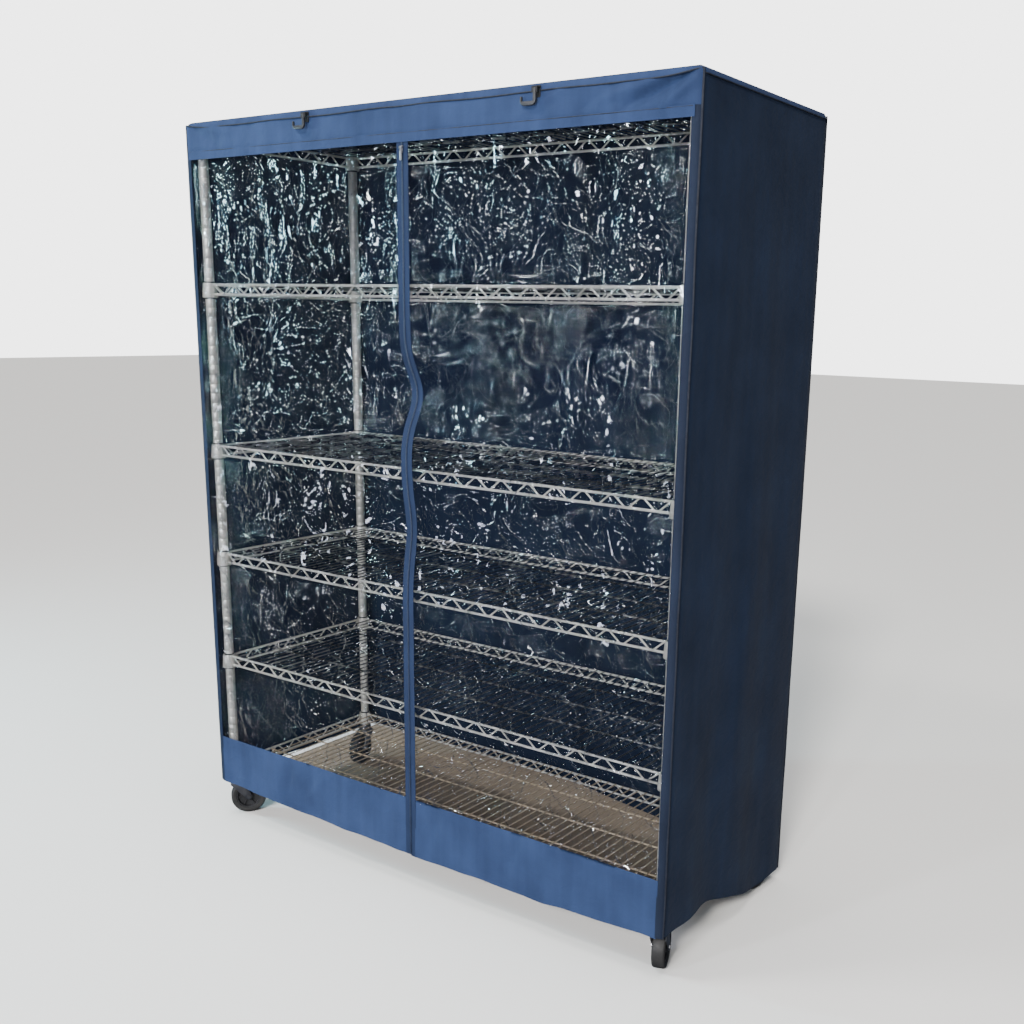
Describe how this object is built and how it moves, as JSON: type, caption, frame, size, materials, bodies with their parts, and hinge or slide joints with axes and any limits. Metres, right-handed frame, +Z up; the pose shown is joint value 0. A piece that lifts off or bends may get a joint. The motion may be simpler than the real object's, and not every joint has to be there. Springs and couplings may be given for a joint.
{
  "type": "sheet pan rack",
  "caption": "Wheeled wire shelving rack in a fitted blue fabric cover with a clear zipped front.",
  "frame": {"origin": "on the floor, under the middle of the whole object's box", "axes": "+Z up, +Y from the zipped front to the back, +X to the right as the front is faced"},
  "size_m": [1.524, 0.6236, 1.9368],
  "materials": {
    "chromed_steel": "bright plated wire and tube",
    "caster_steel": "zinc plated",
    "black_plastic": "moulded, satin",
    "black_rubber": "matt",
    "blue_fabric": "plain weave, matt",
    "navy_fabric": "plain weave, matt",
    "clear_vinyl": "clear, glossy, creased",
    "black_webbing": "woven tape"
  },
  "bodies": {
    "rack": {"shelf_1": "chromed_steel", "shelf_2": "chromed_steel", "shelf_3": "chromed_steel", "shelf_4": "chromed_steel", "shelf_5": "chromed_steel", "shelf_6": "chromed_steel", "post_front_left": "chromed_steel", "post_front_right": "chromed_steel", "post_rear_left": "chromed_steel", "post_rear_right": "chromed_steel", "post_cap_front_left": "black_plastic", "post_cap_front_right": "black_plastic", "post_cap_rear_left": "black_plastic", "post_cap_rear_right": "black_plastic", "caster_stem_front_left": "caster_steel", "caster_stem_front_right": "caster_steel", "caster_stem_rear_left": "caster_steel", "caster_stem_rear_right": "caster_steel", "cover_roof": "blue_fabric", "cover_top_band": "blue_fabric", "cover_header_strip": "blue_fabric", "zip_tape_right_top": "blue_fabric", "cover_corner_strip_left": "blue_fabric", "cover_corner_strip_right": "blue_fabric", "cover_back": "navy_fabric", "cover_side_left": "navy_fabric", "cover_side_right": "navy_fabric", "vinyl_sewn_left": "clear_vinyl", "vinyl_sewn_right": "clear_vinyl", "flap_hook_left": "black_plastic", "flap_hook_right": "black_plastic", "hook_loop_left": "black_webbing", "hook_loop_right": "black_webbing"},
    "caster_front_left": {"caster_fork_front_left": "caster_steel", "caster_axle_front_left": "caster_steel"},
    "wheel_front_left": {"caster_hub_front_left": "black_plastic", "caster_tyre_front_left": "black_rubber"},
    "caster_front_right": {"caster_fork_front_right": "caster_steel", "caster_axle_front_right": "caster_steel"},
    "wheel_front_right": {"caster_hub_front_right": "black_plastic", "caster_tyre_front_right": "black_rubber"},
    "caster_rear_left": {"caster_fork_rear_left": "caster_steel", "caster_axle_rear_left": "caster_steel"},
    "wheel_rear_left": {"caster_hub_rear_left": "black_plastic", "caster_tyre_rear_left": "black_rubber"},
    "caster_rear_right": {"caster_fork_rear_right": "caster_steel", "caster_axle_rear_right": "caster_steel"},
    "wheel_rear_right": {"caster_hub_rear_right": "black_plastic", "caster_tyre_rear_right": "black_rubber"},
    "left_flap": {"vinyl_free_left": "clear_vinyl", "bottom_band_left": "blue_fabric", "zip_tape_left": "blue_fabric"},
    "right_flap": {"vinyl_free_right": "clear_vinyl", "bottom_band_right": "blue_fabric", "zip_tape_right": "blue_fabric"},
    "zip_slider_body": {"zip_slider": "caster_steel"},
    "zip_pull": {"zip_pull_tab": "caster_steel"}
  },
  "joints": [
    {"name": "swivel_front_left", "type": "hinge", "parent": "rack", "child": "caster_front_left", "pos_m": [-0.735, -0.2655, 0.108], "axis": [0, 0, 1], "continuous": true},
    {"name": "wheel_spin_front_left", "type": "hinge", "parent": "caster_front_left", "child": "wheel_front_left", "pos_m": [-0.71345, -0.23792, 0.0508], "axis": [-0.788, 0.6157, 0], "continuous": true},
    {"name": "swivel_front_right", "type": "hinge", "parent": "rack", "child": "caster_front_right", "pos_m": [0.735, -0.2655, 0.108], "axis": [0, 0, 1], "continuous": true},
    {"name": "wheel_spin_front_right", "type": "hinge", "parent": "caster_front_right", "child": "wheel_front_right", "pos_m": [0.72303, -0.23261, 0.0508], "axis": [-0.9397, -0.342, 0], "continuous": true},
    {"name": "swivel_rear_left", "type": "hinge", "parent": "rack", "child": "caster_rear_left", "pos_m": [-0.735, 0.2795, 0.108], "axis": [0, 0, 1], "continuous": true},
    {"name": "wheel_spin_rear_left", "type": "hinge", "parent": "caster_rear_left", "child": "wheel_rear_left", "pos_m": [-0.72594, 0.24569, 0.0508], "axis": [0.9659, 0.2588, 0], "continuous": true},
    {"name": "swivel_rear_right", "type": "hinge", "parent": "rack", "child": "caster_rear_right", "pos_m": [0.735, 0.2795, 0.108], "axis": [0, 0, 1], "continuous": true},
    {"name": "wheel_spin_rear_right", "type": "hinge", "parent": "caster_rear_right", "child": "wheel_rear_right", "pos_m": [0.72418, 0.24621, 0.0508], "axis": [0.9511, -0.309, 0], "continuous": true},
    {"name": "left_flap_fold", "type": "hinge", "parent": "rack", "child": "left_flap", "pos_m": [-0.017, -0.2978, 1.84435], "axis": [-0.3862, 0, -0.9224], "range_deg": [0, 105]},
    {"name": "right_flap_fold", "type": "hinge", "parent": "rack", "child": "right_flap", "pos_m": [0.017, -0.2978, 1.78235], "axis": [-0.3983, 0, 0.9173], "range_deg": [0, 105]},
    {"name": "zip_slide", "type": "slide", "parent": "left_flap", "child": "zip_slider_body", "axis": [0, 0, -1], "range_m": [0, 1.7009]},
    {"name": "pull_tab_swing", "type": "hinge", "parent": "zip_slider_body", "child": "zip_pull", "pos_m": [0, -0.3044, 1.83185], "axis": [-1, 0, 0], "range_deg": [0, 150]}
  ]
}
